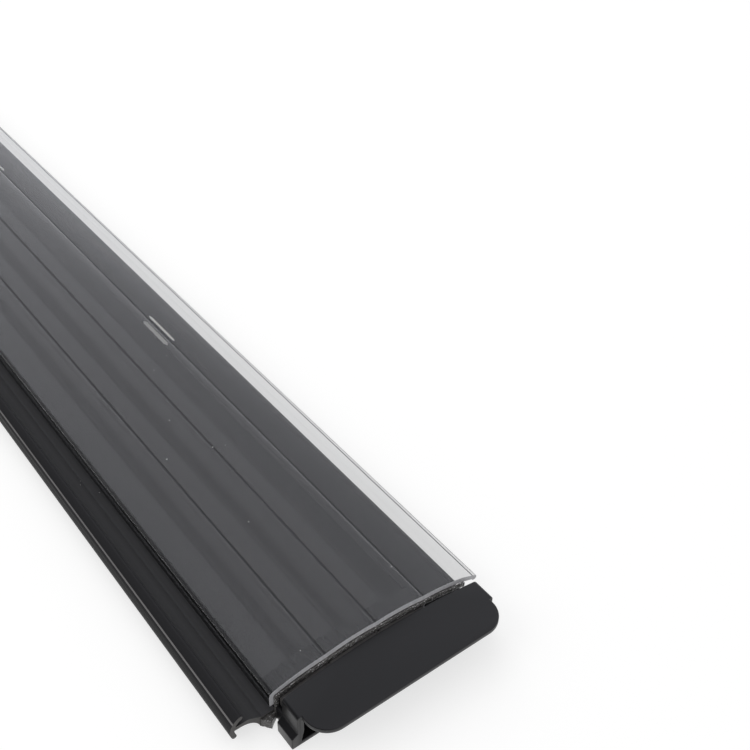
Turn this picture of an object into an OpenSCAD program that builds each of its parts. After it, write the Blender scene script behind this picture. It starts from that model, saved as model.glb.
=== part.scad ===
// One slat of a floating pool cover: a clear arched top on webs, a black base with a
// hook rail on the left and a hook channel on the right, and a plugged end cap.
// Frame: X across the slat, Y along it with the end cap at -Y, Z up from the floor.
// All sizes are in millimetres.

/* [Slat] */
// Length of the sawn slat without its end cap
slat_length = 350; // [200:10:500]
// Height from the floor to the skin over the middle web
slat_height = 12.5; // [12:0.1:14]
// Drop of the top skin from its crown to its side edges
crown_drop = 3.25; // [2.6:0.05:3.6]
// Middle web to the outer face of the clear side wall
left_half = 29.5; // [28.5:0.5:32]
// Middle web to the bend at the right end of the clear skin
right_half = 27; // [25.5:0.5:29]
// Spacing of the three webs
web_pitch = 14.2; // [12:0.1:15]

/* [Clear top] */
// Thickness of the top skin
skin_t = 1.5; // [1:0.1:1.8]
// Thickness of the clear side wall
side_t = 1.1; // [0.8:0.1:1.4]
// Thickness of a web
web_t = 0.7; // [0.5:0.1:1.2]
// Extra rise of the skin between two webs
bay_rise = 0.25; // [0.1:0.05:0.4]
// Outer radius where the skin turns down into the side wall
shoulder_r = 1.8; // [1.2:0.1:2.4]
// Height of the lower edge of the clear side wall
clear_edge_z = 5.1; // [4.8:0.1:5.6]
// Length of the sloping lip beyond the bend
lip_l = 4.2; // [3.6:0.1:4.6]
// Slope of the lip in degrees
lip_slope = 25; // [20:1:30]
// Thickness of the lip
lip_t = 1.2; // [1:0.1:1.4]
// Radius of the bead along the edge of the lip
lip_bead_r = 0.75; // [0.7:0.05:0.9]

/* [Black base] */
// Thickness of the floor
floor_t = 1.2; // [1:0.1:1.6]
// Thickness of the black side wall
wall_t = 1.1; // [0.9:0.1:1.4]
// Height over which the black wall is fused to the clear side wall
fuse_lap = 1; // [0.6:0.1:1.4]
// Height of the black rib that carries the third web
rib_z = 6.3; // [5:0.1:7]
// Thickness of that rib
rib_t = 1; // [0.8:0.1:1.4]
// Middle web to the outer face of the channel's floor lip
keeper_x = 28.3; // [27.5:0.1:29]
// Height of the channel's floor lip
keeper_z = 2.4; // [1.9:0.1:2.6]
// Thickness of the channel's floor lip
keeper_t = 1.1; // [0.9:0.1:1.3]

/* [Hook rail] */
// Middle web to the middle of the curled hook
hook_x = 35.6; // [35:0.1:36.5]
// Height of the middle of the curled hook
hook_z = 3.7; // [3.5:0.05:4]
// Outer radius of the curled hook
hook_r = 4.3; // [3.8:0.1:4.4]
// Thickness of the curled hook
hook_t = 1.2; // [1:0.1:1.4]
// Angle at which the upper edge of the hook ends
hook_top_angle = 112; // [105:1:125]
// Angle at which the lower edge of the hook ends
hook_low_angle = 208; // [198:1:210]
// Height of the top of the arm beside the hook
arm_z = 5.1; // [4.9:0.1:5.4]
// Thickness of the arm beside the hook
arm_t = 1.1; // [0.9:0.1:1.4]
// Height of the top of the arm at its root
root_z = 3.2; // [2.8:0.1:3.6]
// Length of the level stretch of the arm at its root
root_l = 3.2; // [2.6:0.1:3.6]
// Level stretch of the arm before it meets the hook
arm_level = 3.6; // [3:0.1:4.2]
// Reach of the foot beyond the black wall
foot_l = 3.8; // [3:0.1:4.2]
// Radius of the hollow under the arm
haunch_r = 5.1; // [4.8:0.1:6]

/* [End cap] */
// Width of the cap's top
cap_w = 56.4; // [54:0.2:56.6]
// Depth of the cap's box in front of the gap
cap_depth = 7.9; // [6:0.1:10]
// Gap between the sawn end and the middle of the cap's back
cap_gap = 1.4; // [1:0.1:2]
// Further setback of the cap's back at its two sides
cap_bow = 1.7; // [1:0.1:2]
// Height of the cap's level top
cap_z = 10.3; // [10:0.1:10.6]
// Radius of the cap's two upper edges
cap_edge_r = 0.9; // [0.5:0.1:1.2]
// Thickness of the cap's top
top_t = 1.4; // [1.2:0.1:1.6]
// Thickness of the cap's side and back walls
cap_t = 1.8; // [1.2:0.1:2]
// Thickness of the cap's floor
cap_floor_t = 1.2; // [1:0.1:1.6]
// Reach of the flared foot beside the cap's left wall
flare_l = 1.6; // [1:0.1:2]
// Height of the flared foot at its outer face
flare_z = 3.6; // [3:0.1:4]
// Height at which the flare leaves the left wall
flare_top_z = 4.6; // [4.4:0.1:5]
// Reach of the flat nose beyond the cap's box
nose_reach = 7.1; // [5:0.1:10]
// Step between the cap's side and the side of the nose
nose_step = 1.2; // [0.8:0.1:2]
// Corner radius of the nose
nose_r = 6; // [4:0.1:7]
// Depth of the plugs inside the three chambers
plug_l = 6; // [4:0.5:15]
// Clearance between a plug and its chamber
plug_gap = 0.15; // [0.1:0.05:0.3]
// Depth of the adhesive bead under the skin
bead_l = 0.6; // [0.4:0.1:1]
// Height of the adhesive bead
bead_h = 1.2; // [0.8:0.1:1.4]
// Height over which the bead covers the sawn face of the skin
bead_lap = 0.1; // [0.05:0.05:0.3]
// Depth of the lump of adhesive between the foot of the base and the cap
lump_l = 2.2; // [1.4:0.1:2.4]
// Reach of the lump's corner across the slat from the edge of the foot
lump_w = 1.7; // [1:0.1:2.6]
// Height of the lump
lump_h = 2.6; // [1.6:0.1:3]

/* [Hidden] */
$fn = 96;

// Cuts run past the faces that they open by this much
over = 1;
// A trim reaches this many radii out from the round that it trims
reach = 3;

// The crown is one arc through both side edges of the skin
crown_half = (left_half + right_half) / 2;
crown_x = (right_half - left_half) / 2;
crown_r = (crown_half * crown_half + crown_drop * crown_drop) / (2 * crown_drop);
function crown_z(x) = slat_height - crown_r + sqrt(crown_r * crown_r - pow(x - crown_x, 2));

// Each bay of the skin is an arc of its own between two points of the crown
bay_x = [-left_half, -web_pitch, 0, web_pitch, right_half];
bays = len(bay_x) - 1;
function bay_end(i) = [bay_x[i], crown_z(bay_x[i])];
function bay_chord(i) = norm(bay_end(i + 1) - bay_end(i));
function bay_sag(i) = bay_chord(i) * bay_chord(i) / (8 * crown_r) + bay_rise;
function bay_r(i) = (pow(bay_chord(i) / 2, 2) + pow(bay_sag(i), 2)) / (2 * bay_sag(i));
function bay_dir(i) = (bay_end(i + 1) - bay_end(i)) / bay_chord(i);
function bay_mid(i) = (bay_end(i) + bay_end(i + 1)) / 2;
function bay_centre(i) = bay_mid(i) + (bay_r(i) - bay_sag(i)) * [bay_dir(i)[1], -bay_dir(i)[0]];
function bay_z(i, x, depth) =
    bay_centre(i)[1] + sqrt(pow(bay_r(i) - depth, 2) - pow(x - bay_centre(i)[0], 2));

// Where the skin turns down into the side wall
shoulder_x = -left_half + shoulder_r;
shoulder_z = bay_z(0, shoulder_x, shoulder_r);

// The sloping lip runs on from the outer edge of the skin at the bend
bend = [right_half, crown_z(right_half)];
lip_dir = [cos(lip_slope), -sin(lip_slope)];
lip_down = [-sin(lip_slope), -cos(lip_slope)];
lip_edge = bend + lip_l * lip_dir;
lip_bead = lip_edge + lip_bead_r * lip_down;

// The black wall, and the hollow under the arm that meets the foot on the floor
black_x = -left_half + side_t;
foot_x = black_x - foot_l;
hook_inner_x = -hook_x - hook_r + hook_t;
hollow_z = arm_z - arm_t - haunch_r;
hollow_x = foot_x - sqrt(haunch_r * haunch_r - hollow_z * hollow_z);

// Chambers between the black wall and the three webs take one plug each
chambers = [[black_x + wall_t, -web_pitch - web_t / 2], [-web_pitch + web_t / 2, -web_t / 2],
            [web_t / 2, web_pitch - max(web_t, rib_t) / 2]];

// The cap's back is a shallow arc in plan
cap_half = cap_w / 2;
cap_front = -cap_gap - cap_depth;
back_r = (cap_half * cap_half + cap_bow * cap_bow) / (2 * cap_bow);
edge_x = cap_half - cap_edge_r;
edge_z = cap_z - cap_edge_r;
nose_front = cap_front - nose_reach;

// The part stands with its box centred over the origin
part_left = -hook_x - hook_r;
part_right = lip_bead[0] + lip_bead_r;
shift_x = -(part_left + part_right) / 2;
shift_y = -(slat_length + nose_front) / 2;

module placed() translate([shift_x, shift_y, 0]) children();

// Runs a section drawn in X and Z from y0 to y1
module run(y0, y1) translate([0, y1, 0]) rotate([90, 0, 0]) linear_extrude(height = y1 - y0) children();

module disc(p, r) translate(p) circle(r = r);

module skin_bay(i) {
    intersection() {
        difference() {
            disc(bay_centre(i), bay_r(i), $fn = 720);
            disc(bay_centre(i), bay_r(i) - skin_t, $fn = 720);
        }
        translate([bay_x[i], 0]) square([bay_x[i + 1] - bay_x[i], slat_height + over]);
    }
}

// What lies outside the round shoulder, left of the point where it meets the skin
module shoulder_cut() {
    c = [shoulder_x, shoulder_z];
    up = reach * shoulder_r * (c - bay_centre(0)) / norm(c - bay_centre(0));
    left = [-reach * shoulder_r, 0];
    difference() {
        polygon([c, c + up, c + up + left, c + left]);
        disc(c, shoulder_r);
    }
}

module web(x, z0) translate([x - web_t / 2, z0]) square([web_t, crown_z(x) - skin_t / 2 - z0]);

module clear_section() {
    difference() {
        union() {
            for (i = [0 : bays - 1]) skin_bay(i);
            translate([-left_half, clear_edge_z]) square([side_t, shoulder_z - clear_edge_z + shoulder_r / 2]);
        }
        shoulder_cut();
    }
    web(-web_pitch, floor_t);
    web(0, floor_t);
    web(web_pitch, rib_z);
    polygon([[right_half, bay_z(bays - 1, right_half, skin_t)], lip_edge + lip_t * lip_down, lip_edge, bend]);
    disc(lip_bead, lip_bead_r);
}

function on_hook(a) = [-hook_x, hook_z] + (hook_r - hook_t / 2) * [cos(a), sin(a)];
function far_from_hook(a) = [-hook_x, hook_z] + reach * hook_r * [cos(a), sin(a)];

module hook_section() {
    intersection() {
        difference() {
            disc([-hook_x, hook_z], hook_r);
            disc([-hook_x, hook_z], hook_r - hook_t);
        }
        polygon([[-hook_x, hook_z], far_from_hook(hook_top_angle),
                 far_from_hook((hook_top_angle + hook_low_angle) / 2), far_from_hook(hook_low_angle)]);
    }
    disc(on_hook(hook_top_angle), hook_t / 2);
    disc(on_hook(hook_low_angle), hook_t / 2);
}

// Floor, keeper lip, rib, wall and arm in one outline, hollowed under the arm
module base_section() {
    difference() {
        polygon([[foot_x, 0], [keeper_x, 0], [keeper_x, keeper_z - keeper_t / 2],
                 [keeper_x - keeper_t, keeper_z - keeper_t / 2], [keeper_x - keeper_t, floor_t],
                 [web_pitch + rib_t / 2, floor_t], [web_pitch + rib_t / 2, rib_z],
                 [web_pitch - rib_t / 2, rib_z], [web_pitch - rib_t / 2, floor_t],
                 [black_x + wall_t, floor_t], [black_x + wall_t, clear_edge_z + fuse_lap],
                 [black_x, clear_edge_z + fuse_lap], [black_x, root_z], [black_x - root_l, root_z],
                 [hook_inner_x + arm_level, arm_z], [hook_inner_x - hook_t / 2, arm_z],
                 [hook_inner_x - hook_t / 2, arm_z - arm_t]]);
        disc([hollow_x, hollow_z], haunch_r);
    }
    disc([keeper_x - keeper_t / 2, keeper_z - keeper_t / 2], keeper_t / 2);
    hook_section();
}

// The cap's outer outline: a level top with round edges and a flared foot on the left
module cap_outline() {
    translate([-edge_x, 0]) square([2 * edge_x, cap_z]);
    translate([-cap_half, 0]) square([cap_w, edge_z]);
    for (side = [-1, 1]) disc([side * edge_x, edge_z], cap_edge_r);
    polygon([[-cap_half, 0], [-cap_half, flare_top_z], [-cap_half - flare_l, flare_z], [-cap_half - flare_l, 0]]);
}

module cap_hollow() {
    in_x = cap_half - cap_t;
    polygon([[-in_x - flare_l / 2, cap_floor_t], [in_x, cap_floor_t], [in_x, cap_z - top_t],
             [-in_x, cap_z - top_t], [-in_x, flare_top_z]]);
}

// All that lies in front of the cap's bowed back, or a depth further in front
module before_back(depth) translate([0, -cap_gap - back_r]) circle(r = back_r - depth, $fn = 1440);

module nose_plan() {
    half = cap_half - nose_step;
    translate([-half, nose_front + nose_r]) square([2 * half, nose_reach - nose_r + cap_depth / 2]);
    translate([nose_r - half, nose_front]) square([2 * (half - nose_r), nose_r]);
    for (side = [-1, 1]) disc([side * (half - nose_r), nose_front + nose_r], nose_r);
}

// All that lies deeper under the crown than this
module crown_disc(depth) disc([crown_x, slat_height - crown_r], crown_r - depth, $fn = 1440);

// A plug fills its chamber from the floor up to the adhesive under the skin
module plug_section(chamber) {
    intersection() {
        translate([chamber[0] + plug_gap, floor_t + plug_gap])
            square([chamber[1] - chamber[0] - 2 * plug_gap, slat_height]);
        crown_disc(skin_t + bead_h);
    }
}

module cap_body() {
    difference() {
        union() {
            intersection() {
                run(cap_front, 0) cap_outline();
                linear_extrude(height = slat_height) before_back(0);
            }
            for (chamber = chambers) run(-cap_gap - cap_bow - cap_t / 2, plug_l) plug_section(chamber);
        }
        intersection() {
            run(cap_front - over, 0) cap_hollow();
            linear_extrude(height = slat_height) before_back(cap_t);
        }
    }
}

module cap_nose() {
    intersection() {
        run(nose_front, cap_front + cap_depth / 2) cap_outline();
        translate([0, 0, cap_z - top_t]) linear_extrude(height = slat_height) nose_plan();
    }
}

// The adhesive follows the underside of the skin and runs down the face of the black wall
module bead_section() {
    intersection() {
        crown_disc(skin_t - bead_lap);
        difference() {
            translate([black_x, 0]) square([right_half - black_x, slat_height]);
            intersection() {
                crown_disc(skin_t + bead_h);
                translate([black_x + wall_t, 0]) square([right_half - black_x, slat_height]);
            }
        }
    }
}

// At the foot of the wall it is squeezed out into a lump
module lump_plan() {
    polygon([[foot_x, 0], [foot_x + lump_w, -lump_l], [black_x, -bead_l], [black_x + wall_t / 2, -bead_l],
             [black_x + wall_t / 2, 0]]);
}

module clear_top() color([0.85, 0.87, 0.88, 0.35]) placed() run(0, slat_length) clear_section();

module black_base() color([0.08, 0.08, 0.085]) placed() run(0, slat_length) base_section();

module end_cap() {
    color([0.1, 0.1, 0.105]) placed() {
        cap_body();
        cap_nose();
    }
}

module adhesive_bead() {
    color([0.3, 0.27, 0.24]) placed() {
        run(-bead_l, 0) bead_section();
        linear_extrude(height = lump_h) lump_plan();
    }
}

clear_top();
black_base();
end_cap();
adhesive_bead();
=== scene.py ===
import math

import bmesh
import bpy
from mathutils import Matrix, Vector


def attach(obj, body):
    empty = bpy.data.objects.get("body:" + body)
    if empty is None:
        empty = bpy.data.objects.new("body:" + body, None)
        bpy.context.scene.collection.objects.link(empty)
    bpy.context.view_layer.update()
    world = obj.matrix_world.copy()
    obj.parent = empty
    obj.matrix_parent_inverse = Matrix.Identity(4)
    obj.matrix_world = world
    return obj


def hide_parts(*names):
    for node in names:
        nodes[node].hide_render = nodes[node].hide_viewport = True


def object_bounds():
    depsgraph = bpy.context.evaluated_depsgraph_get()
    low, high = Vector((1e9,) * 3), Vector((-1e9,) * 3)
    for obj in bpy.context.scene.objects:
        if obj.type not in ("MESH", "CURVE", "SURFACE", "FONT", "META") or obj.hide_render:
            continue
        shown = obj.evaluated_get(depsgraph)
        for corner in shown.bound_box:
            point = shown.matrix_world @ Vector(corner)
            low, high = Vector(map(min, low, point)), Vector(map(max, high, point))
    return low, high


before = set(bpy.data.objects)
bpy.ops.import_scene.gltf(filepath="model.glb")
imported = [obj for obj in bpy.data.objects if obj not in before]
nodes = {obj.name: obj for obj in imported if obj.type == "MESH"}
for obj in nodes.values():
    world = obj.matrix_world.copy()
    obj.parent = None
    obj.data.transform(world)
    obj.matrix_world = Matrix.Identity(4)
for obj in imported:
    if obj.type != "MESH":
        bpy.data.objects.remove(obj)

MM = 0.001
cad_low, cad_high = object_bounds()

# Sizes of the slat in mm: X from the middle web, Y from the sawn near end, Z from the floor
SLAT_L = 350.0
LEFT, RIGHT = 29.5, 27.0
WEB_X = (-14.2, 0.0, 14.2)
WEB_T, RIB_T, RIB_Z = 0.6, 1.0, 6.3
# The arched skin shows a web left of its place, so the drawn webs stand further right by this much
WEB_SHIFT = 0.28
WEB_MIDDLES = [x + WEB_SHIFT for x in WEB_X]
# The feet of the webs reach this deep into the black they are fused to
WEB_SINK = 0.06
SKIN_T, SIDE_T = 1.5, 1.1
TOP_Z, CROWN_DROP, BAY_RISE = 12.5, 3.25, 0.25
# Rounds of the clear top: left shoulder, right bend, and root of a web under the skin
SHOULDER_R, BEND_R, ROOT_R = 1.8, 1.6, 0.05
CLEAR_EDGE_Z = 5.1
LIP_L, LIP_SLOPE, LIP_BEAD_R = 4.2, math.radians(25), 0.75
FLOOR_T, WALL_T, FUSE = 1.2, 1.1, 1.0
KEEPER_X, KEEPER_Z, KEEPER_T = 28.3, 2.4, 1.1
HOOK = Vector((-35.6, 3.7))
HOOK_R, HOOK_T, HOOK_TOP, HOOK_LOW = 4.3, 1.2, math.radians(112), math.radians(208)
ARM_Z, ARM_T, ROOT_Z, ROOT_L, ARM_LEVEL = 5.1, 1.1, 3.2, 3.2, 3.6
FOOT_L, HAUNCH_R = 3.8, 5.1
# Adhesive: its reach in front of the sawn end and its height under the skin
BEAD_L, BEAD_H = 0.6, 1.2
# Blocks in the gap behind the cap: one beside the black wall, and one at a web between two plugs
WALL_BLOCK = ((-28.3, -3.4, 0.3), (-27.0, -0.15, 4.6))
WEB_BLOCK_HALF, WEB_BLOCK_FRONT, WEB_BLOCK_LOW, WEB_BLOCK_GAP = 0.55, -3.0, 1.35, 0.05
# The scuffs' left and right edges and their near and far ends; the first is the faintest
SCUFFS = ((11.75, 13.1, 122.0, 137.3), (14.95, 15.7, 123.2, 139.3), (14.9, 15.7, 256.5, 263.0))

# Refractive indices of polycarbonate, of ABS, and of adhesive and dust
PC_IOR, ABS_IOR, SOFT_IOR = 1.585, 1.54, 1.5

WALL_X = -LEFT + SIDE_T
CROWN_HALF = (LEFT + RIGHT) / 2
CROWN_X = (RIGHT - LEFT) / 2
CROWN_R = (CROWN_HALF ** 2 + CROWN_DROP ** 2) / (2 * CROWN_DROP)

# The slat's own zero lies off the frame's, which is under the middle of the whole part
SHIFT_X = cad_low[0] / MM - (HOOK.x - HOOK_R)
NEAR_Y, FAR_Y = cad_high[1] - SLAT_L * MM, cad_high[1]


def paint(code):
    """An sRGB hex colour as the linear colour that a shader takes."""
    parts = [int(code[i:i + 2], 16) / 255 for i in (1, 3, 5)]
    return (*[c / 12.92 if c <= 0.04045 else ((c + 0.055) / 1.055) ** 2.4 for c in parts], 1)


def add(tree, kind, inputs=None, **settings):
    """Adds a node with its settings; an input takes a value, a socket or another node's first output."""
    made = tree.nodes.new(kind)
    for name, value in settings.items():
        setattr(made, name, value)
    for key, value in (inputs or {}).items():
        if isinstance(value, bpy.types.Node):
            value = value.outputs[0]
        if isinstance(value, bpy.types.NodeSocket):
            tree.links.new(value, made.inputs[key])
        else:
            made.inputs[key].default_value = value
    return made


def new_object(name, data):
    """An object in the scene, at the origin."""
    made = bpy.data.objects.new(name, data)
    bpy.context.scene.collection.objects.link(made)
    return made


def new_material(name):
    """An empty material and its tree."""
    material = bpy.data.materials.new(name)
    material.use_nodes = True
    material.node_tree.nodes.clear()
    return material, material.node_tree


def aim_camera():
    """The camera looks down over the near left corner; its turn comes from two vanishing points."""
    picture, focal = 750, 1093.3
    centre = picture / 2
    far_points = ((2220.5, -485.9), (-693.3, -526.6))
    across, along = [Vector(((u - centre) / focal, (v - centre) / focal, 1)) for u, v in far_points]
    across.normalize()
    along = (along - along.dot(across) * across).normalized()
    up = across.cross(along)
    if up.y > 0:
        up = -up
    data = bpy.data.cameras.new("camera")
    data.sensor_width = 36
    data.lens = focal / picture * data.sensor_width
    data.clip_start, data.clip_end = 0.005, 50
    data.dof.use_dof = False
    camera = new_object("camera", data)
    right, down, ahead = [Vector((across[i], along[i], up[i])) for i in range(3)]
    turn = Matrix((right, -down, -ahead)).transposed().to_4x4()
    place = (-0.09397, -0.2932, 0.2157)
    camera.matrix_world = Matrix.Translation(place) @ turn
    bpy.context.scene.camera = camera


def pale_floor():
    """A matt pale floor: white to the camera, in gloss and through clear pieces, and it takes the shadow."""
    material, tree = new_material("pale_floor")
    path = add(tree, "ShaderNodeLightPath")
    seen = add(tree, "ShaderNodeMath", {0: path.outputs["Is Camera Ray"], 1: path.outputs["Is Glossy Ray"]},
               operation="MAXIMUM")
    seen = add(tree, "ShaderNodeMath", {0: seen, 1: path.outputs["Is Transmission Ray"]}, operation="MAXIMUM")
    # the glow that brings the lit floor up to white
    lift = add(tree, "ShaderNodeMath", {0: seen, 1: 0.68}, operation="MULTIPLY")
    matt = add(tree, "ShaderNodeBsdfDiffuse", {"Color": paint("#A8A8A8")})
    glow = add(tree, "ShaderNodeEmission", {"Color": (1, 1, 1, 1), "Strength": lift})
    lit = add(tree, "ShaderNodeAddShader", {0: matt, 1: glow})
    # from below the floor is see-through, so that the slat's underside shows
    below = add(tree, "ShaderNodeNewGeometry").outputs["Backfacing"]
    both = add(tree, "ShaderNodeMixShader", {0: below, 1: lit, 2: add(tree, "ShaderNodeBsdfTransparent")})
    add(tree, "ShaderNodeOutputMaterial", {"Surface": both})
    mesh = bpy.data.meshes.new("floor")
    half, drop = 4, -0.2 * MM
    corners = [(-half, -half, drop), (half, -half, drop), (half, half, drop), (-half, half, drop)]
    mesh.from_pydata(corners, [], [(0, 1, 2, 3)])
    mesh.materials.append(material)
    new_object("floor", mesh)


def studio_world():
    """A white backdrop; in gloss and through clear pieces faintly blue, greyer overhead, dim at the left."""
    world = bpy.data.worlds.new("studio")
    world.use_nodes = True
    tree = world.node_tree
    tree.nodes.clear()
    place = add(tree, "ShaderNodeTexCoord")
    way = add(tree, "ShaderNodeSeparateXYZ", {0: place.outputs["Generated"]}).outputs
    overhead = add(tree, "ShaderNodeMapRange", {
        "Value": way["Z"], "From Min": 0.3, "From Max": 0.52, "To Min": 0.88, "To Max": 0.75},
        interpolation_type="SMOOTHSTEP")
    left = add(tree, "ShaderNodeMapRange", {
        "Value": way["X"], "From Min": -0.5, "From Max": -0.08, "To Min": 0.2, "To Max": 1.0},
        interpolation_type="SMOOTHSTEP")
    mirrored = add(tree, "ShaderNodeMath", {0: overhead, 1: left}, operation="MULTIPLY")
    path = add(tree, "ShaderNodeLightPath").outputs
    seen = add(tree, "ShaderNodeMath", {0: path["Is Glossy Ray"], 1: path["Is Transmission Ray"]},
               operation="MAXIMUM")
    # 0.65 is the level at which the world lights the slat
    level = add(tree, "ShaderNodeMix", {0: seen, 2: 0.65, 3: mirrored}, data_type="FLOAT")
    level = add(tree, "ShaderNodeMix", {0: path["Is Camera Ray"], 2: level, 3: 1.0}, data_type="FLOAT")
    white, cool = (1, 1, 1, 1), (0.93, 0.94, 1, 1)
    hue = add(tree, "ShaderNodeMix", {0: seen, 6: white, 7: cool}, data_type="RGBA")
    sky = add(tree, "ShaderNodeBackground", {"Color": hue.outputs[2], "Strength": level})
    add(tree, "ShaderNodeOutputWorld", {"Surface": sky})
    bpy.context.scene.world = world


def area_lamp(name, power, size, place):
    """A large soft lamp aimed at the slat, which gives light but no mirror image."""
    lamp = bpy.data.lights.new(name, "AREA")
    lamp.energy = power
    lamp.size = size
    stand = new_object(name, lamp)
    stand.location = place
    stand.rotation_euler = (-Vector(place)).to_track_quat("-Z", "Y").to_euler()
    stand.visible_camera = stand.visible_glossy = stand.visible_transmission = False


def studio():
    """Floor, backdrop and two soft lamps."""
    bpy.context.scene.view_settings.view_transform = "Standard"
    pale_floor()
    studio_world()
    area_lamp("far_softbox", 7, 1.4, (0.5, 1.3, 1.3))
    area_lamp("left_softbox", 4, 1.0, (-1.2, 0.2, 1.1))


aim_camera()
studio()


def grain(tree, per_metre, detail=2.0):
    """Random grain fixed to the piece; its scale is 1000 over a grain's size in mm, along X, Y and Z."""
    place = add(tree, "ShaderNodeTexCoord").outputs["Object"]
    place = add(tree, "ShaderNodeMapping", {"Vector": place, "Scale": per_metre})
    return add(tree, "ShaderNodeTexNoise", {"Vector": place, "Scale": 1.0, "Detail": detail})


def clear_polycarbonate():
    """Extruded clear polycarbonate, lightly smoked: smooth as glass, with the faintest lines from the die."""
    material, tree = new_material("clear_polycarbonate")
    # lines 1.4 mm apart
    lines = grain(tree, (700, 2, 700))
    tone = add(tree, "ShaderNodeMix", {0: lines, 6: paint("#DBDBDB"), 7: paint("#E5E5E4")}, data_type="RGBA")
    rough = add(tree, "ShaderNodeMapRange", {"Value": lines, "To Min": 0.0, "To Max": 0.03})
    body = add(tree, "ShaderNodeBsdfPrincipled", {
        "Base Color": tone.outputs[2], "IOR": PC_IOR, "Transmission Weight": 1.0, "Roughness": rough})
    add(tree, "ShaderNodeOutputMaterial", {"Surface": body})
    return material


def painted_web_highlight(name, clearness):
    """A painted highlight beside a web: a hazy strip of the clear skin that scatters a little white."""
    material, tree = new_material(name)
    # streaks 0.8 mm wide
    lines = grain(tree, (1200, 8, 1200))
    tone = add(tree, "ShaderNodeMix", {0: lines, 6: paint("#D3D3D8"), 7: paint("#ECECF0")}, data_type="RGBA")
    body = add(tree, "ShaderNodeBsdfPrincipled", {
        "Base Color": tone.outputs[2], "IOR": PC_IOR, "Transmission Weight": clearness, "Roughness": 0.03})
    add(tree, "ShaderNodeOutputMaterial", {"Surface": body})
    return material


def sawn_polycarbonate():
    """The sawn end of the clear top: the blade leaves it frosted white, with fine upright scratches."""
    material, tree = new_material("sawn_polycarbonate")
    # scratches 0.6 mm wide, coarser than a saw's so that they show
    marks = grain(tree, (1800, 1800, 400), 3.0)
    bump = add(tree, "ShaderNodeBump", {"Height": marks, "Strength": 0.4, "Distance": 0.1 * MM})
    tone = add(tree, "ShaderNodeMix", {0: marks, 6: paint("#C2C2C6"), 7: paint("#F2F2F6")}, data_type="RGBA")
    body = add(tree, "ShaderNodeBsdfPrincipled", {
        "Base Color": tone.outputs[2], "IOR": PC_IOR, "Roughness": 0.5, "Normal": bump})
    add(tree, "ShaderNodeOutputMaterial", {"Surface": body})
    return material


def dull_black(name, gloss):
    """Black plastic with little gloss: fused to the webs' feet, under the last bay and on the cap's plugs."""
    material, tree = new_material(name)
    # flow lines 1.1 mm apart
    flow = grain(tree, (900, 6, 900))
    tone = add(tree, "ShaderNodeMix", {0: flow, 6: paint("#101011"), 7: paint("#1B1B1C")}, data_type="RGBA")
    body = add(tree, "ShaderNodeBsdfPrincipled", {
        "Base Color": tone.outputs[2], "IOR": PC_IOR, "Specular IOR Level": gloss, "Roughness": 0.2})
    add(tree, "ShaderNodeOutputMaterial", {"Surface": body})
    return material


def black_inside():
    """Extruded black polycarbonate inside the chambers: untouched and glossy, a soft mirror."""
    material, tree = new_material("black_polycarbonate_inside")
    # die lines 1.1 mm apart
    lines = grain(tree, (900, 2, 900))
    rough = add(tree, "ShaderNodeMapRange", {"Value": lines, "To Min": 0.02, "To Max": 0.05})
    body = add(tree, "ShaderNodeBsdfPrincipled", {
        "Base Color": paint("#101011"), "IOR": PC_IOR, "Roughness": rough})
    add(tree, "ShaderNodeOutputMaterial", {"Surface": body})
    return material


def black_outside():
    """The rail's black polycarbonate, dulled by handling, and painted paler across its channel to offset the
    shade there.
    """
    material, tree = new_material("black_polycarbonate_outside")
    place = add(tree, "ShaderNodeTexCoord").outputs["Object"]
    across = add(tree, "ShaderNodeSeparateXYZ", {0: place}).outputs["X"]
    # the ramp runs from the hook, 40 mm left of the middle web, to the black wall at 28 mm
    across = add(tree, "ShaderNodeMapRange", {
        "Value": across, "From Min": (SHIFT_X - 40) * MM, "From Max": (SHIFT_X - 28) * MM})
    # painted light: the colour grows paler towards the wall, where the channel lies in shade
    painted_light_ramp = add(tree, "ShaderNodeValToRGB", {"Fac": across})
    stops = painted_light_ramp.color_ramp.elements
    stops[0].position, stops[0].color = 0.05, paint("#2C2C2D")
    stops[1].position, stops[1].color = 0.54, paint("#464648")
    for position, code in ((0.10, "#28282A"), (0.26, "#2A2A2C"), (0.33, "#353537"), (0.44, "#3F3F41")):
        stops.new(position).color = paint(code)
    # die lines 1.1 mm apart
    drawn = grain(tree, (900, 2, 900))
    swing = add(tree, "ShaderNodeMapRange", {"Value": drawn, "To Min": 0.88, "To Max": 1.12})
    tone = add(tree, "ShaderNodeVectorMath", {0: painted_light_ramp, "Scale": swing}, operation="SCALE")
    # pitting of 0.4 mm, coarser than the real one so that it shows
    pits = grain(tree, (2600, 2600, 2600))
    bump = add(tree, "ShaderNodeBump", {"Height": pits, "Strength": 0.04, "Distance": 0.1 * MM})
    body = add(tree, "ShaderNodeBsdfPrincipled", {
        "Base Color": tone, "IOR": PC_IOR, "Specular IOR Level": 0.06, "Roughness": 0.5, "Normal": bump})
    add(tree, "ShaderNodeOutputMaterial", {"Surface": body})
    return material


def painted_crest_highlight():
    """A painted highlight: a pale line along the hook's crest."""
    material, tree = new_material("painted_crest_highlight_polycarbonate")
    # streaks 0.7 mm wide and 40 mm long in the painted highlight
    wear = grain(tree, (1500, 25, 1500), 3.0)
    tone = add(tree, "ShaderNodeMix", {0: wear, 6: paint("#585657"), 7: paint("#82807F")}, data_type="RGBA")
    body = add(tree, "ShaderNodeBsdfPrincipled", {
        "Base Color": tone.outputs[2], "IOR": PC_IOR, "Roughness": 0.35})
    add(tree, "ShaderNodeOutputMaterial", {"Surface": body})
    return material


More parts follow.
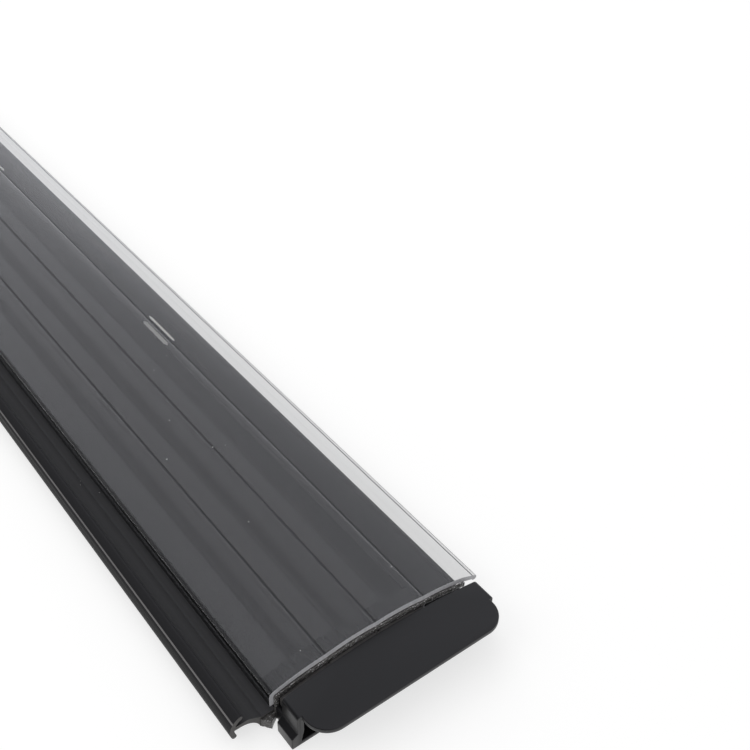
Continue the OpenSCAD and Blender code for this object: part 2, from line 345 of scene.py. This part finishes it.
def sawn_black():
    """The sawn end of the black base: the blade leaves it dull and brown-grey."""
    material, tree = new_material("sawn_black")
    # scratches 0.6 mm wide, coarser than a saw's so that they show
    marks = grain(tree, (1800, 1800, 500), 3.0)
    bump = add(tree, "ShaderNodeBump", {"Height": marks, "Strength": 0.4, "Distance": 0.1 * MM})
    tone = add(tree, "ShaderNodeMix", {0: marks, 6: paint("#3C3A39"), 7: paint("#5C5A58")}, data_type="RGBA")
    body = add(tree, "ShaderNodeBsdfPrincipled", {
        "Base Color": tone.outputs[2], "IOR": PC_IOR, "Roughness": 0.6, "Normal": bump})
    add(tree, "ShaderNodeOutputMaterial", {"Surface": body})
    return material


def moulded_abs():
    """Injection-moulded black ABS: an even satin, with the fine grain of an eroded mould."""
    material, tree = new_material("moulded_black_abs")
    # grain of 0.3 mm, coarser than the mould's so that it shows
    pits = grain(tree, (3500, 3500, 3500))
    bump = add(tree, "ShaderNodeBump", {"Height": pits, "Strength": 0.12, "Distance": 0.1 * MM})
    body = add(tree, "ShaderNodeBsdfPrincipled", {
        "Base Color": paint("#151517"), "IOR": ABS_IOR, "Specular IOR Level": 0.38, "Roughness": 0.38,
        "Normal": bump})
    add(tree, "ShaderNodeOutputMaterial", {"Surface": body})
    return material


def sealing_adhesive():
    """Dark adhesive, lumpy and still glossy; pale swarf from the saw sticks to it, less so on the lump."""
    material, tree = new_material("sealing_adhesive")
    # lumps of 0.5 mm
    lumps = grain(tree, (2200, 2200, 2200), 3.0)
    tone = add(tree, "ShaderNodeMix", {0: lumps, 6: paint("#2C2A29"), 7: paint("#5E5C5A")}, data_type="RGBA")
    # crumbs of 0.3 mm
    swarf = grain(tree, (3000, 3000, 3000))
    swarf = add(tree, "ShaderNodeMapRange", {"Value": swarf, "From Min": 0.6, "From Max": 0.66})
    place = add(tree, "ShaderNodeTexCoord").outputs["Object"]
    height = add(tree, "ShaderNodeSeparateXYZ", {0: place}).outputs["Z"]
    caught = add(tree, "ShaderNodeMapRange", {
        "Value": height, "From Min": 2.3 * MM, "From Max": 3.2 * MM, "To Min": 0.12, "To Max": 1.0})
    swarf = add(tree, "ShaderNodeMath", {0: swarf, 1: caught}, operation="MULTIPLY")
    tone = add(tree, "ShaderNodeMix", {0: swarf, 6: tone.outputs[2], 7: paint("#E8E8EA")}, data_type="RGBA")
    bump = add(tree, "ShaderNodeBump", {"Height": lumps, "Strength": 0.5, "Distance": 0.2 * MM})
    body = add(tree, "ShaderNodeBsdfPrincipled", {
        "Base Color": tone.outputs[2], "IOR": SOFT_IOR, "Roughness": 0.3, "Normal": bump})
    add(tree, "ShaderNodeOutputMaterial", {"Surface": body})
    return material


def smeared_and_lit_abs():
    """The cap's back and the plugs in the gap, greyed by a film of adhesive and painted lighter against the
    shade in the gap.
    """
    material, tree = new_material("smeared_and_lit_black_abs")
    # smears of 0.8 mm
    film = grain(tree, (1200, 1200, 1200), 3.0)
    tone = add(tree, "ShaderNodeMix", {0: film, 6: paint("#333232"), 7: paint("#5C5A59")}, data_type="RGBA")
    body = add(tree, "ShaderNodeBsdfPrincipled", {
        "Base Color": tone.outputs[2], "IOR": ABS_IOR, "Roughness": 0.5})
    add(tree, "ShaderNodeOutputMaterial", {"Surface": body})
    return material


def scuffed_polycarbonate():
    """Short white scuffs on the skin, streaky along the slat."""
    material, tree = new_material("scuffed_polycarbonate")
    place = add(tree, "ShaderNodeTexCoord").outputs["Object"]
    across = add(tree, "ShaderNodeSeparateXYZ", {0: place}).outputs["X"]
    # faint left of the third web and strong right of it
    depth = add(tree, "ShaderNodeMapRange", {
        "Value": across, "From Min": (SHIFT_X + 12.8) * MM, "From Max": (SHIFT_X + 15.1) * MM})
    # streaks 0.2 mm wide and 17 mm long
    streaks = grain(tree, (5200, 60, 5200), 3.0)
    faint, fair, strong = paint("#A2A2A2"), paint("#D8D8D6"), paint("#FAFAF8")
    tone = add(tree, "ShaderNodeMix", {0: streaks, 6: faint, 7: fair}, data_type="RGBA")
    tone = add(tree, "ShaderNodeMix", {0: depth, 6: tone.outputs[2], 7: strong}, data_type="RGBA")
    body = add(tree, "ShaderNodeBsdfPrincipled", {
        "Base Color": tone.outputs[2], "IOR": PC_IOR, "Transmission Weight": 0.6, "Roughness": 0.4})
    add(tree, "ShaderNodeOutputMaterial", {"Surface": body})
    return material


def workshop_dust():
    """Grey dust and swarf from the saw, dry and matt."""
    material, tree = new_material("workshop_dust")
    # from speck to speck, over 7 mm
    kind = grain(tree, (150, 150, 150))
    tone = add(tree, "ShaderNodeMix", {0: kind, 6: paint("#78787A"), 7: paint("#C4C4C2")}, data_type="RGBA")
    body = add(tree, "ShaderNodeBsdfPrincipled", {
        "Base Color": tone.outputs[2], "IOR": SOFT_IOR, "Roughness": 0.9})
    add(tree, "ShaderNodeOutputMaterial", {"Surface": body})
    return material


CLEAR = clear_polycarbonate()
WEB_HIGHLIGHT, BRIGHT_WEB_HIGHLIGHT = painted_web_highlight("painted_web_highlight", 0.975), painted_web_highlight("bright_painted_web_highlight", 0.94)
SAWN_CLEAR = sawn_polycarbonate()
BLACK_IN, BLACK_OUT, CREST_HIGHLIGHT = black_inside(), black_outside(), painted_crest_highlight()
DULL, PLUG = dull_black("dull_black_polycarbonate", 0.1), dull_black("dull_black_abs", 0.2)
SAWN_BLACK = sawn_black()
ABS, SMEARED_AND_LIT = moulded_abs(), smeared_and_lit_abs()
ADHESIVE = sealing_adhesive()
SCUFFED = scuffed_polycarbonate()
DUST = workshop_dust()


def crown_z(x):
    """Height of the crown, the one arc on which the ends of all bays lie."""
    return TOP_Z - CROWN_R + math.sqrt(CROWN_R ** 2 - (x - CROWN_X) ** 2)


def bay_arc(i):
    """Centre and radius of the skin's outer arc over bay i."""
    ends = (-LEFT, *WEB_X, RIGHT)
    a, b = [Vector((x, crown_z(x))) for x in ends[i:i + 2]]
    chord = (b - a).length
    sag = chord ** 2 / (8 * CROWN_R) + BAY_RISE
    radius = ((chord / 2) ** 2 + sag ** 2) / (2 * sag)
    run = (b - a) / chord
    return (a + b) / 2 + (radius - sag) * Vector((run.y, -run.x)), radius


BAYS = [bay_arc(i) for i in range(len(WEB_X) + 1)]


def skin_point(x, depth=0.0):
    """The skin's outer surface at x, or the surface this deep in it, with each crease softened."""
    heights = sorted((c.y + math.sqrt((r - depth) ** 2 - (x - c.x) ** 2) for c, r in BAYS), reverse=True)
    # where two bays come this close in height, the upper one is lifted a little
    soft = 0.03
    blend = max(soft - (heights[0] - heights[1]), 0) / soft
    return Vector((x, heights[0] + blend * blend * soft / 4))


def skin_line(start, end, steps, depth=0.0):
    """Points along the skin between two places across it, without the two ends."""
    return [skin_point(start + (end - start) * i / steps, depth) for i in range(1, steps)]


def arc(centre, radius, start, end, steps):
    """Points along a round from one angle to another, both ends with it."""
    return [centre + radius * Vector((math.cos(t), math.sin(t)))
            for t in (start + (end - start) * i / steps for i in range(steps + 1))]


def rounded(points):
    """Turns corners given as (x, z, radius) into small arcs between their straight neighbours."""
    steps, most = 6, 0.48
    made = []
    for i, p in enumerate(points):
        here = Vector(p[:2])
        if len(p) < 3:
            made.append(here)
            continue
        before = Vector(points[i - 1][:2]) - here
        after = Vector(points[(i + 1) % len(points)][:2]) - here
        half = before.angle(after) / 2
        reach = min(p[2] / math.tan(half), before.length * most, after.length * most)
        start, end = here + before.normalized() * reach, here + after.normalized() * reach
        for t in (k / steps for k in range(steps + 1)):
            made.append(start * (1 - t) ** 2 + here * 2 * t * (1 - t) + end * t ** 2)
    return made


def clear_outline():
    """Shoulder, four bays of skin, the bend and its lip, and back along the underside round the webs."""
    over_steps, under_steps = 360, 34
    first, first_r = BAYS[0]
    x = -LEFT + SHOULDER_R
    shoulder = Vector((x, first.y + math.sqrt((first_r - SHOULDER_R) ** 2 - (x - first.x) ** 2)))
    turn = (shoulder - first).normalized()
    points = [Vector((-LEFT, CLEAR_EDGE_Z))]
    points += arc(shoulder, SHOULDER_R, math.pi, math.atan2(turn.y, turn.x), 12)
    # the bend is a round tangent to the last bay and to the lip
    last, last_r = BAYS[-1]
    bend = Vector((RIGHT, crown_z(RIGHT)))
    down = Vector((-math.sin(LIP_SLOPE), -math.cos(LIP_SLOPE)))
    along = Vector((math.cos(LIP_SLOPE), -math.sin(LIP_SLOPE)))
    slope = math.atan2((bend - last).x, (bend - last).y)
    ease = BEND_R * math.tan((LIP_SLOPE - slope) / 2)
    centre = bend + ease * along + BEND_R * down
    points += skin_line(points[-1].x, RIGHT - ease, over_steps)
    points += arc(centre, BEND_R, math.pi / 2 - slope, math.pi / 2 - LIP_SLOPE, 8)
    tip = bend + LIP_L * along + LIP_BEAD_R * down
    up_angle = math.pi / 2 - LIP_SLOPE
    # the bead's round ends where the lip's underside leaves it
    bead_turn = math.radians(233.1)
    points += arc(tip, LIP_BEAD_R, up_angle, up_angle - bead_turn, 20)
    points.append(skin_point(RIGHT, SKIN_T))
    x = RIGHT
    for web in reversed(WEB_MIDDLES):
        foot = (RIB_Z if web == WEB_MIDDLES[-1] else FLOOR_T) - WEB_SINK
        right, left = web + WEB_T / 2, web - WEB_T / 2
        points += skin_line(x, right + ROOT_R, under_steps, SKIN_T)
        root = skin_point(right + ROOT_R, SKIN_T) - Vector((0, ROOT_R))
        points += arc(root, ROOT_R, math.pi / 2, math.pi, 3)
        points += [Vector((right, foot)), Vector((left, foot))]
        x = left - ROOT_R
        root = skin_point(x, SKIN_T) - Vector((0, ROOT_R))
        points += arc(root, ROOT_R, 0, math.pi / 2, 3)
    inner = SHOULDER_R - SIDE_T
    corner = skin_point(-LEFT + SHOULDER_R, SKIN_T) - Vector((0, inner))
    points += skin_line(x, corner.x, under_steps, SKIN_T)
    points += arc(corner, inner, math.pi / 2, math.pi, 8)
    points.append(Vector((WALL_X, CLEAR_EDGE_Z)))
    return points


def base_outline():
    """Floor, keeper lip, rib, wall, arm and curled hook, all round in one line."""
    foot_x = WALL_X - FOOT_L
    hollow = Vector((0, ARM_Z - ARM_T - HAUNCH_R))
    hollow.x = foot_x - math.sqrt(HAUNCH_R ** 2 - hollow.y ** 2)
    inner = HOOK_R - HOOK_T

    def on_inner_round(z):
        """The angle at which the hook's inner round reaches this height on its outer side."""
        return math.atan2(z - HOOK.y, -math.sqrt(inner ** 2 - (z - HOOK.y) ** 2))

    def hook_tip(angle):
        """The middle of the round that ends the hook at this angle."""
        return HOOK + (HOOK_R - HOOK_T / 2) * Vector((math.cos(angle), math.sin(angle)))

    keeper = Vector((KEEPER_X - KEEPER_T / 2, KEEPER_Z - KEEPER_T / 2))
    # the black wall is let into the clear one by this much, so that no air lies between them
    seam = 0.03
    rib_left, rib_right = WEB_X[2] - RIB_T / 2, WEB_X[2] + RIB_T / 2
    wall_in, fused_z = WALL_X + WALL_T, CLEAR_EDGE_Z + FUSE
    points = [(foot_x, 0, 0.2), (KEEPER_X, 0, 0.35)]
    points += arc(keeper, KEEPER_T / 2, 0, math.pi, 12)
    points += [(KEEPER_X - KEEPER_T, FLOOR_T, 0.3), (rib_right, FLOOR_T, 0.3),
               (rib_right, RIB_Z, 0.1), (rib_left, RIB_Z, 0.1), (rib_left, FLOOR_T, 0.3)]
    points += [(web + side * WEB_T / 2, FLOOR_T) for web in WEB_MIDDLES[1::-1] for side in (1, -1)]
    points += [(wall_in, FLOOR_T, 0.4), (wall_in, fused_z, 0.2), (WALL_X - seam, fused_z, 0.1),
               (WALL_X - seam, CLEAR_EDGE_Z), (WALL_X, CLEAR_EDGE_Z - seam),
               (WALL_X, ROOT_Z, 0.5), (WALL_X - ROOT_L, ROOT_Z, 0.8),
               (HOOK.x - inner + ARM_LEVEL, ARM_Z, 0.8)]
    points += arc(HOOK, inner, on_inner_round(ARM_Z), HOOK_TOP, 14)
    points += arc(hook_tip(HOOK_TOP), HOOK_T / 2, HOOK_TOP - math.pi, HOOK_TOP, 10)[1:]
    points += arc(HOOK, HOOK_R, HOOK_TOP, HOOK_LOW, 48)[1:]
    points += arc(hook_tip(HOOK_LOW), HOOK_T / 2, HOOK_LOW, HOOK_LOW + math.pi, 10)[1:]
    points += arc(HOOK, inner, HOOK_LOW, on_inner_round(ARM_Z - ARM_T), 12)[1:]
    points += arc(hollow, HAUNCH_R, math.pi / 2, math.atan2(-hollow.y, foot_x - hollow.x), 18)[:-1]
    return rounded([tuple(p) for p in points])


def node_group(name, inputs):
    """An empty geometry-nodes tree with named inputs and one geometry output."""
    tree = bpy.data.node_groups.new(name, "GeometryNodeTree")
    for label, kind in inputs.items():
        tree.interface.new_socket(label, in_out="INPUT", socket_type="NodeSocket" + kind)
    tree.interface.new_socket("Geometry", in_out="OUTPUT", socket_type="NodeSocketGeometry")
    return tree, add(tree, "NodeGroupInput").outputs


def extruded_profile():
    """Geometry nodes: fills a closed outline, draws it out along the slat and finishes both sawn ends."""
    tree, given = node_group("extruded_profile", {
        "Outline": "Geometry", "Length": "Float", "Far end": "Float", "Drawn finish": "Material",
        "Sawn finish": "Material"})
    line = add(tree, "GeometryNodeMeshToCurve", {"Mesh": given["Outline"]})
    section = add(tree, "GeometryNodeFillCurve", {"Curve": line}, mode="NGONS")
    drawn = add(tree, "GeometryNodeExtrudeMesh", {"Mesh": section, "Offset": (0, 0, 1), "Individual": False,
                                                  "Offset Scale": given["Length"]}, mode="FACES")
    start = add(tree, "GeometryNodeFlipFaces", {"Mesh": section})
    whole = add(tree, "GeometryNodeJoinGeometry", {"Geometry": drawn})
    tree.links.new(start.outputs[0], whole.inputs["Geometry"])
    whole = add(tree, "GeometryNodeMergeByDistance", {"Geometry": whole, "Distance": 1e-7})
    smooth = add(tree, "GeometryNodeSetShadeSmooth", {"Geometry": whole, "Shade Smooth": True}, domain="FACE")
    bend = add(tree, "GeometryNodeInputMeshEdgeAngle").outputs["Unsigned Angle"]
    sharp = add(tree, "FunctionNodeCompare", {"A": bend, "B": math.radians(32)},
                data_type="FLOAT", operation="GREATER_THAN")
    smooth = add(tree, "GeometryNodeSetShadeSmooth", {"Geometry": smooth, "Selection": sharp,
                                                      "Shade Smooth": False}, domain="EDGE")
    facing = add(tree, "ShaderNodeSeparateXYZ", {0: add(tree, "GeometryNodeInputNormal")})
    facing = add(tree, "ShaderNodeMath", {0: facing.outputs["Z"]}, operation="ABSOLUTE")
    end = add(tree, "FunctionNodeCompare", {"A": facing, "B": 0.9},
              data_type="FLOAT", operation="GREATER_THAN")
    ends = add(tree, "GeometryNodeSetMaterial", {"Geometry": smooth, "Material": given["Drawn finish"]})
    ends = add(tree, "GeometryNodeSetMaterial", {"Geometry": ends, "Selection": end,
                                                 "Material": given["Sawn finish"]})
    shift = add(tree, "ShaderNodeCombineXYZ", {"Y": given["Far end"]})
    laid = add(tree, "GeometryNodeTransform", {"Geometry": ends, "Translation": shift,
                                               "Rotation": (math.pi / 2, 0, 0)})
    real = add(tree, "GeometryNodeRealizeInstances", {"Geometry": laid})
    add(tree, "NodeGroupOutput", {"Geometry": real})
    return tree


def squeezed_surface():
    """Geometry nodes: pushes a fine mesh in and out by noise, the way squeezed adhesive sets."""
    tree, given = node_group("squeezed_surface", {
        "Mesh": "Geometry", "Lumps": "Float", "Height": "Float", "Finish": "Material"})
    lumps = add(tree, "ShaderNodeTexNoise", {"Scale": given["Lumps"], "Detail": 2.0})
    swing = add(tree, "ShaderNodeMath", {0: lumps, 1: 0.5}, operation="SUBTRACT")
    swing = add(tree, "ShaderNodeMath", {0: swing, 1: given["Height"]}, operation="MULTIPLY")
    away = add(tree, "ShaderNodeVectorMath", {0: add(tree, "GeometryNodeInputNormal"), "Scale": swing},
               operation="SCALE")
    moved = add(tree, "GeometryNodeSetPosition", {"Geometry": given["Mesh"], "Offset": away})
    place = add(tree, "ShaderNodeSeparateXYZ", {0: add(tree, "GeometryNodeInputPosition")}).outputs
    # nothing sinks below the level that the slat lies on
    above = add(tree, "ShaderNodeMath", {0: place["Z"], 1: 0.0}, operation="MAXIMUM")
    above = add(tree, "ShaderNodeCombineXYZ", {"X": place["X"], "Y": place["Y"], "Z": above})
    moved = add(tree, "GeometryNodeSetPosition", {"Geometry": moved, "Position": above})
    smooth = add(tree, "GeometryNodeSetShadeSmooth", {"Geometry": moved, "Shade Smooth": True}, domain="FACE")
    real = add(tree, "GeometryNodeRealizeInstances", {"Geometry": smooth})
    done = add(tree, "GeometryNodeSetMaterial", {"Geometry": real, "Material": given["Finish"]})
    add(tree, "NodeGroupOutput", {"Geometry": done})
    return tree


def settled_dust():
    """Geometry nodes: drops specks on the faces that look up, above a height and left of a line."""
    tree, given = node_group("settled_dust", {
        "Surface": "Geometry", "Lowest": "Float", "Rightmost": "Float", "Per square metre": "Float",
        "Speck": "Float", "Seed": "Int", "Finish": "Material"})
    place = add(tree, "ShaderNodeSeparateXYZ", {0: add(tree, "GeometryNodeInputPosition")}).outputs
    facing = add(tree, "ShaderNodeSeparateXYZ", {0: add(tree, "GeometryNodeInputNormal")}).outputs
    pairs = ((place["Z"], given["Lowest"]), (given["Rightmost"], place["X"]), (facing["Z"], 0.6))
    tests = [add(tree, "FunctionNodeCompare", {"A": a, "B": b}, data_type="FLOAT", operation="GREATER_THAN")
             for a, b in pairs]
    wanted = add(tree, "FunctionNodeBooleanMath", {0: tests[0], 1: tests[1]}, operation="AND")
    wanted = add(tree, "FunctionNodeBooleanMath", {0: wanted, 1: tests[2]}, operation="AND")
    points = add(tree, "GeometryNodeDistributePointsOnFaces", {
        "Mesh": given["Surface"], "Selection": wanted, "Density": given["Per square metre"],
        "Seed": given["Seed"]}, distribute_method="RANDOM")
    speck = add(tree, "GeometryNodeMeshIcoSphere", {"Radius": given["Speck"], "Subdivisions": 1})
    size = add(tree, "FunctionNodeRandomValue", {"Min": (0.3, 0.3, 0.2), "Max": (1.3, 1.3, 0.5),
                                                 "Seed": given["Seed"]}, data_type="FLOAT_VECTOR")
    strewn = add(tree, "GeometryNodeInstanceOnPoints", {"Points": points.outputs["Points"], "Instance": speck,
                                                        "Scale": size})
    real = add(tree, "GeometryNodeRealizeInstances", {"Geometry": strewn})
    done = add(tree, "GeometryNodeSetMaterial", {"Geometry": real, "Material": given["Finish"]})
    add(tree, "NodeGroupOutput", {"Geometry": done})
    return tree


def baked(carrier):
    """The carrier's mesh with its modifiers in it; the carrier itself goes."""
    held = carrier.evaluated_get(bpy.context.evaluated_depsgraph_get())
    mesh = bpy.data.meshes.new_from_object(held)
    bpy.data.objects.remove(carrier)
    return mesh


def grow(name, seed_mesh, tree, values):
    """Runs a geometry-nodes tree on a mesh and returns its result as a plain mesh object."""
    carrier = new_object(name + "_carrier", seed_mesh)
    modifier = carrier.modifiers.new("grow", "NODES")
    modifier.node_group = tree
    for item in tree.interface.items_tree:
        if item.item_type == "SOCKET" and item.in_out == "INPUT" and item.name in values:
            modifier[item.identifier] = values[item.name]
    mesh = baked(carrier)
    mesh.name = name
    return new_object(name, mesh)


def outline_mesh(name, points):
    """A closed line of edges in the frame's X, with the height as Y until the tree stands it up."""
    mesh = bpy.data.meshes.new(name)
    count = len(points)
    mesh.from_pydata([((p.x + SHIFT_X) * MM, p.y * MM, 0) for p in points],
                     [(i, (i + 1) % count) for i in range(count)], [])
    return mesh


def merged_copy(node, name):
    """A copy of a node's mesh with its loose triangles joined and its flat faces whole."""
    work = bmesh.new()
    work.from_mesh(nodes[node].data)
    bmesh.ops.remove_doubles(work, verts=work.verts, dist=2e-6)
    bmesh.ops.dissolve_limit(work, angle_limit=math.radians(1), verts=work.verts, edges=work.edges)
    mesh = bpy.data.meshes.new(name)
    work.to_mesh(mesh)
    work.free()
    mesh.materials.clear()
    return mesh


def seat(piece, node=None):
    """Rides a piece on the slat and, where it stands for a CAD node, hides that node."""
    if node:
        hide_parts(node)
    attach(piece, "root")


def refinish(piece, material, wanted):
    """Gives a finish to the faces that pass a test of their middle, in slat mm, and their normal."""
    piece.data.materials.append(material)
    slot = len(piece.data.materials) - 1
    for face in piece.data.polygons:
        x, y, z = face.center / MM
        if wanted(Vector((x - SHIFT_X, y - NEAR_Y / MM, z)), face.normal):
            face.material_index = slot


def beside_web(webs):
    """A test for the strip of the skin's outside that shows just left of a web."""
    strip_left, strip_right, outermost = -1.0, -0.6, 0.2

    def wanted(middle, normal):
        near = any(strip_left < middle.x - web < strip_right for web in webs)
        return near and normal.z > 0.8 and middle.z > skin_point(middle.x).y - outermost
    return wanted


def on_dull_floor(middle, normal):
    """True where the black base touches a web's foot or the clear side wall, and under the last bay."""
    near_wall, near_floor = 0.01, 0.1
    side = normal.x < -0.9 and middle.x < WALL_X + near_wall and middle.z > CLEAR_EDGE_Z
    last_bay = middle.x > WEB_X[2] - RIB_T / 2 and middle.z > FLOOR_T - near_floor
    foot = any(abs(middle.x - web) < WEB_T / 2 for web in WEB_MIDDLES)
    return side or (normal.z > 0.9 and (foot or last_bay))


def on_rail(middle, normal):
    """True on all of the black base left of its wall, but not on its sawn ends."""
    return middle.x < WALL_X and abs(normal.y) < 0.5


def on_hook_crest(middle, normal):
    """True on a narrow line along the outside of the hook."""
    away = Vector((middle.x, middle.z)) - HOOK
    crest, half = math.radians(141), math.radians(2.2)
    outside = away.length > HOOK_R - HOOK_T / 2 and abs(normal.y) < 0.5
    return outside and abs(math.atan2(away.y, away.x) - crest) < half


def in_gap(middle, normal):
    """True on the cap's back and on the plugs between it and the sawn end."""
    front, top = -4.5, 10
    deep = front < middle.y < -BEAD_L and middle.z < top and middle.x > WALL_X + WALL_T
    return deep and normal.y > -0.5


def draw_profiles():
    """The clear top and the black base, drawn from their two outlines."""
    tree = extruded_profile()
    pieces = []
    for name, node, slot, outline, drawn, sawn in (
            ("clear_top_skin", "clear_top", "clear", clear_outline(), CLEAR, SAWN_CLEAR),
            ("black_base_rail", "black_base", "black", base_outline(), BLACK_IN, SAWN_BLACK)):
        piece = grow(name, outline_mesh(name + "_outline", outline), tree, {
            "Length": SLAT_L * MM, "Far end": FAR_Y, "Drawn finish": drawn, "Sawn finish": sawn})
        seat(piece, node)
        pieces.append(piece)
    top, base = pieces
    # painted highlights just left of each web, brightest beside the third
    refinish(top, WEB_HIGHLIGHT, beside_web(WEB_MIDDLES[:2]))
    refinish(top, BRIGHT_WEB_HIGHLIGHT, beside_web(WEB_MIDDLES[2:]))
    refinish(base, BLACK_OUT, on_rail)
    # a painted highlight along the hook's crest
    refinish(base, CREST_HIGHLIGHT, on_hook_crest)
    refinish(base, DULL, on_dull_floor)
    return top, base


def dress_cap():
    """The moulded cap, its edges softened, with the blocks that close the gap behind it."""
    mesh = merged_copy("end_cap", "end_cap_moulding")
    work = bmesh.new()
    work.from_mesh(mesh)
    blocks = [WALL_BLOCK]
    for web in WEB_X[:2]:
        plug_top = crown_z(web) - SKIN_T - BEAD_H
        blocks.append(((web - WEB_BLOCK_HALF, WEB_BLOCK_FRONT, WEB_BLOCK_LOW),
                       (web + WEB_BLOCK_HALF, -BEAD_L - WEB_BLOCK_GAP, plug_top)))
    for low, high in blocks:
        low, high = Vector(low), Vector(high)
        size, middle = high - low, (low + high) / 2 + Vector((SHIFT_X, NEAR_Y / MM, 0))
        placed = Matrix.Translation(middle * MM) @ Matrix.Diagonal((*(size * MM), 1))
        bmesh.ops.create_cube(work, size=1, matrix=placed)
    # an edge round the plugs under the adhesive's face, where the smeared and painted-lighter finish ends
    bmesh.ops.bisect_plane(work, geom=work.verts[:] + work.edges[:] + work.faces[:],
                           plane_co=(0, NEAR_Y - BEAD_L * MM, 0), plane_no=(0, 1, 0))
    work.to_mesh(mesh)
    work.free()
    mesh.materials.append(ABS)
    mesh.polygons.foreach_set("use_smooth", [True] * len(mesh.polygons))
    piece = new_object("end_cap_moulding", mesh)
    soft = piece.modifiers.new("soft_edges", "BEVEL")
    soft.width = 0.25 * MM
    soft.segments = 3
    soft.limit_method = "ANGLE"
    soft.angle_limit = math.radians(40)
    soft.harden_normals = True
    refinish(piece, PLUG, lambda middle, normal: middle.y > -BEAD_L)
    # the gap's faces: smeared with adhesive, and painted lighter against the shade there
    refinish(piece, SMEARED_AND_LIT, in_gap)
    seat(piece, "end_cap")


def seal():
    """The adhesive, remeshed fine and pushed into lumps."""
    carrier = new_object("bead_carrier", merged_copy("adhesive_bead", "bead"))
    fine = carrier.modifiers.new("fine", "REMESH")
    fine.mode = "VOXEL"
    fine.voxel_size = 0.14 * MM
    # lumps of 1.1 mm
    piece = grow("adhesive_seal", baked(carrier), squeezed_surface(), {
        "Lumps": 900.0, "Height": 0.3 * MM, "Finish": ADHESIVE})
    seat(piece, "adhesive_bead")


def scuffs():
    """The scuffs beside the third web, as skins that stand a hundredth of a millimetre proud."""
    proud, steps_along, steps_across = 0.01, 12, 4
    # the ends are round: over the last sixth each side is drawn in by up to this share of the width
    drawn_in, taper = 0.35, 6
    work = bmesh.new()
    for left, right, near, far in SCUFFS:
        rows = []
        for i in range(steps_along + 1):
            along = i / steps_along
            inset = (right - left) * drawn_in * max(abs(2 * along - 1) * taper - (taper - 1), 0)
            y = near + (far - near) * along
            row = []
            for k in range(steps_across + 1):
                edge = skin_point(left + inset + (right - left - 2 * inset) * k / steps_across)
                row.append(Vector(((edge.x + SHIFT_X) * MM, NEAR_Y + y * MM, (edge.y + proud) * MM)))
            rows.append([work.verts.new(p) for p in row])
        for lower, upper in zip(rows, rows[1:]):
            for k in range(steps_across):
                work.faces.new((lower[k], lower[k + 1], upper[k + 1], upper[k]))
    mesh = bpy.data.meshes.new("scuffs")
    work.to_mesh(mesh)
    work.free()
    mesh.materials.append(SCUFFED)
    piece = new_object("scuffs", mesh)
    thick = piece.modifiers.new("thick", "SOLIDIFY")
    thick.thickness = 0.03 * MM
    thick.offset = -1
    # light that is already inside the skin passes them, so they leave no shadow in the black floor's mirror
    piece.visible_transmission = piece.visible_glossy = False
    seat(piece)


def dust(top, base):
    """Specks that lie on the skin and in the rail's channel."""
    tree = settled_dust()
    speck = 0.2 * MM
    for name, surface, slot, lowest, rightmost, per_area, seed in (
            ("skin_dust", top, "clear", 9.0, 22.0, 1500.0, 4),
            ("rail_dust", base, "black", 2.5, WALL_X - 0.5, 2600.0, 9)):
        piece = grow(name, surface.data.copy(), tree, {
            "Lowest": lowest * MM, "Rightmost": (rightmost + SHIFT_X) * MM, "Per square metre": per_area,
            "Speck": speck, "Seed": seed, "Finish": DUST})
        seat(piece)


clear_top, black_base = draw_profiles()
dress_cap()
seal()
scuffs()
dust(clear_top, black_base)
